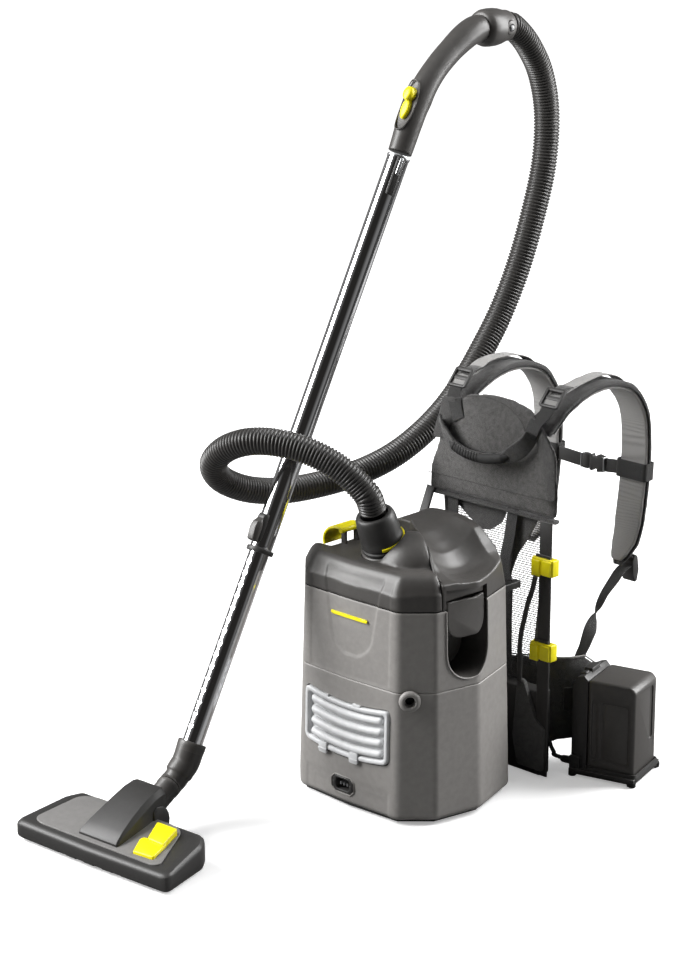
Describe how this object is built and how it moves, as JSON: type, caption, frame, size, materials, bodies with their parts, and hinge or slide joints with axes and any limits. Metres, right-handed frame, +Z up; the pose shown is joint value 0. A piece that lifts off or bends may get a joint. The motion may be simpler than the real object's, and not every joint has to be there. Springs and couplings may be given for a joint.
{
  "type": "backpack vacuum cleaner",
  "caption": "Backpack vacuum cleaner on a harness frame, with ribbed hose, telescopic wand, floor head and belt battery, standing on the floor.",
  "frame": {"origin": "on the floor under the middle of the bounding box, hose and cable left out", "axes": "+Z up; -Y towards the floor head and the exhaust grille; +X towards the battery and the side pocket"},
  "size_m": [0.5706, 1.1043, 1.215],
  "materials": {
    "charcoal_plastic": "satin moulded",
    "black_plastic": "matt moulded",
    "grey_plastic": "fine-grained moulded",
    "pale_plastic": "semi-gloss moulded",
    "yellow_plastic": "semi-gloss moulded",
    "head_grey_plastic": "satin moulded",
    "black_rubber": "matt",
    "chrome_tube": "polished",
    "plain_steel": "turned",
    "motor_winding": "bare",
    "heather_fabric": "woven",
    "spacer_mesh": "open mesh",
    "black_webbing": "woven",
    "filter_fleece": "felted",
    "circuit_board": "solder resist"
  },
  "bodies": {
    "root": {"upper_tube": "chrome_tube", "release_collar": "black_plastic", "lower_body": "grey_plastic", "base_feet": "black_rubber", "upper_body": "grey_plastic", "lid_seal": "black_rubber", "rear_shoulder": "charcoal_plastic", "exhaust_filter": "filter_fleece", "charge_socket": "black_plastic", "round_socket": "black_plastic", "motor_housing": "black_plastic", "motor_stator": "plain_steel", "lower_bearing": "plain_steel", "upper_bearing": "plain_steel", "motor_filter": "filter_fleece", "bag_deck": "black_plastic", "filter_bag": "filter_fleece", "control_board": "circuit_board", "hose": "black_rubber", "handle_grip": "charcoal_plastic", "frame_base": "black_plastic", "right_stay": "black_webbing", "left_stay": "black_webbing", "unit_bracket": "black_plastic", "back_panel": "heather_fabric", "back_mesh": "spacer_mesh", "hip_belt": "heather_fabric", "right_shoulder_strap": "heather_fabric", "left_shoulder_strap": "heather_fabric", "chest_strap_right": "black_webbing", "chest_strap_left": "black_webbing", "battery_holder": "black_plastic", "battery_cable": "black_rubber"},
    "lid_body": {"lid": "charcoal_plastic", "latch_pin_bracket": "charcoal_plastic"},
    "inlet_swivel": {"inlet_cuff": "black_plastic", "inlet_lock_ring": "yellow_plastic"},
    "latch": {"lid_latch": "yellow_plastic"},
    "flap": {"pocket_flap": "charcoal_plastic"},
    "grille": {"exhaust_grille": "pale_plastic"},
    "rotor": {"motor_shaft": "motor_winding", "fan_impeller": "plain_steel"},
    "wand_lower": {"lower_tube": "chrome_tube", "elbow": "charcoal_plastic"},
    "collar_button": {"release_button": "black_plastic"},
    "neck_body": {"neck": "charcoal_plastic"},
    "head": {"head_housing": "black_plastic", "head_inlay": "head_grey_plastic", "head_hood": "black_plastic"},
    "pedal": {"rocker_pedal": "yellow_plastic"},
    "brushes": {"brush_frame": "black_rubber"},
    "wheel_left": {"left_wheel": "black_rubber"},
    "wheel_right": {"right_wheel": "black_rubber"},
    "air_control": {"air_slider": "yellow_plastic"},
    "handle_swivel": {"hose_cuff": "charcoal_plastic"},
    "clip_upper": {"upper_clip": "yellow_plastic"},
    "clip_lower": {"lower_clip": "yellow_plastic"},
    "grab_handle": {"carry_handle": "black_rubber"},
    "battery": {"battery_pack": "charcoal_plastic"},
    "battery_release": {"battery_button": "black_plastic"}
  },
  "joints": [
    {"name": "lid_hinge", "type": "hinge", "parent": "root", "child": "lid_body", "pos_m": [0.003, 0.05935, 0.44], "axis": [-1, 0, 0], "range_deg": [0, 45], "deforming": ["hose"]},
    {"name": "inlet_cuff_swivel", "type": "hinge", "parent": "lid_body", "child": "inlet_swivel", "pos_m": [0.008, 0.0062, 0.402], "axis": [0, -0.3746, 0.9272], "continuous": true},
    {"name": "lid_latch", "type": "hinge", "parent": "lid_body", "child": "latch", "pos_m": [-0.081, 0.0142, 0.43], "axis": [0, 1, 0], "range_deg": [0, 35]},
    {"name": "pocket_flap", "type": "hinge", "parent": "root", "child": "flap", "pos_m": [0.146, 0.0342, 0.357], "axis": [0, -1, 0], "range_deg": [0, 35]},
    {"name": "exhaust_grille", "type": "slide", "parent": "root", "child": "grille", "axis": [0, -1, 0], "range_m": [0, 0.05]},
    {"name": "fan_spin", "type": "hinge", "parent": "root", "child": "rotor", "pos_m": [0.003, 0.0442, 0.09], "axis": [0, 0, 1], "continuous": true},
    {"name": "telescope", "type": "slide", "parent": "root", "child": "wand_lower", "axis": [0, 0.4741, 0.8805], "range_m": [0, 0.29]},
    {"name": "release_button", "type": "slide", "parent": "root", "child": "collar_button", "axis": [0, 0.4741, 0.8805], "range_m": [0, 0.01], "stiffness_N_per_m": 300},
    {"name": "elbow_swivel", "type": "hinge", "parent": "wand_lower", "child": "neck_body", "pos_m": [-0.146, -0.3278, 0.068], "axis": [-0.2116, 0.9143, 0.3453], "range_deg": [-60, 60]},
    {"name": "neck_tilt", "type": "hinge", "parent": "neck_body", "child": "head", "pos_m": [-0.12884, -0.40193, 0.04], "axis": [0.9976, 0.0698, 0], "range_deg": [-10, 10]},
    {"name": "rocker_pedal", "type": "hinge", "parent": "head", "child": "pedal", "pos_m": [-0.04007, -0.45287, 0.04366], "axis": [0.9976, 0.0698, 0], "range_deg": [0, 7.1]},
    {"name": "brush_lift", "type": "slide", "parent": "head", "child": "brushes", "axis": [0, 0, 1], "range_m": [0, 0.005]},
    {"name": "left_wheel_spin", "type": "hinge", "parent": "head", "child": "wheel_left", "pos_m": [-0.22411, -0.41561, 0.007], "axis": [0.9976, 0.0698, 0], "continuous": true},
    {"name": "right_wheel_spin", "type": "hinge", "parent": "head", "child": "wheel_right", "pos_m": [-0.03258, -0.40222, 0.007], "axis": [0.9976, 0.0698, 0], "continuous": true},
    {"name": "air_slider", "type": "slide", "parent": "root", "child": "air_control", "axis": [0, 0.4848, 0.8746], "range_m": [-0.015, 0.01]},
    {"name": "hose_cuff_swivel", "type": "hinge", "parent": "root", "child": "handle_swivel", "pos_m": [-0.146, 0.4042, 1.184], "axis": [0, 1, 0], "continuous": true},
    {"name": "upper_clip_slide", "type": "slide", "parent": "root", "child": "clip_upper", "axis": [0, 0, 1], "range_m": [-0.04, 0.04]},
    {"name": "lower_clip_slide", "type": "slide", "parent": "root", "child": "clip_lower", "axis": [0, 0, 1], "range_m": [-0.04, 0.04]},
    {"name": "carry_handle_swing", "type": "hinge", "parent": "root", "child": "grab_handle", "pos_m": [0.0005, 0.2452, 0.567], "axis": [-0.9987, 0, -0.0502], "range_deg": [0, 70]},
    {"name": "battery_slide", "type": "slide", "parent": "root", "child": "battery", "axis": [0, 0, 1], "range_m": [0, 0.12]},
    {"name": "battery_button", "type": "slide", "parent": "root", "child": "battery_release", "axis": [0, 0, -1], "range_m": [0, 0.003], "stiffness_N_per_m": 800}
  ],
  "couplings": [
    {"joint": "rocker_pedal", "follows": "brush_lift", "rad_per_m": 24.435}
  ]
}
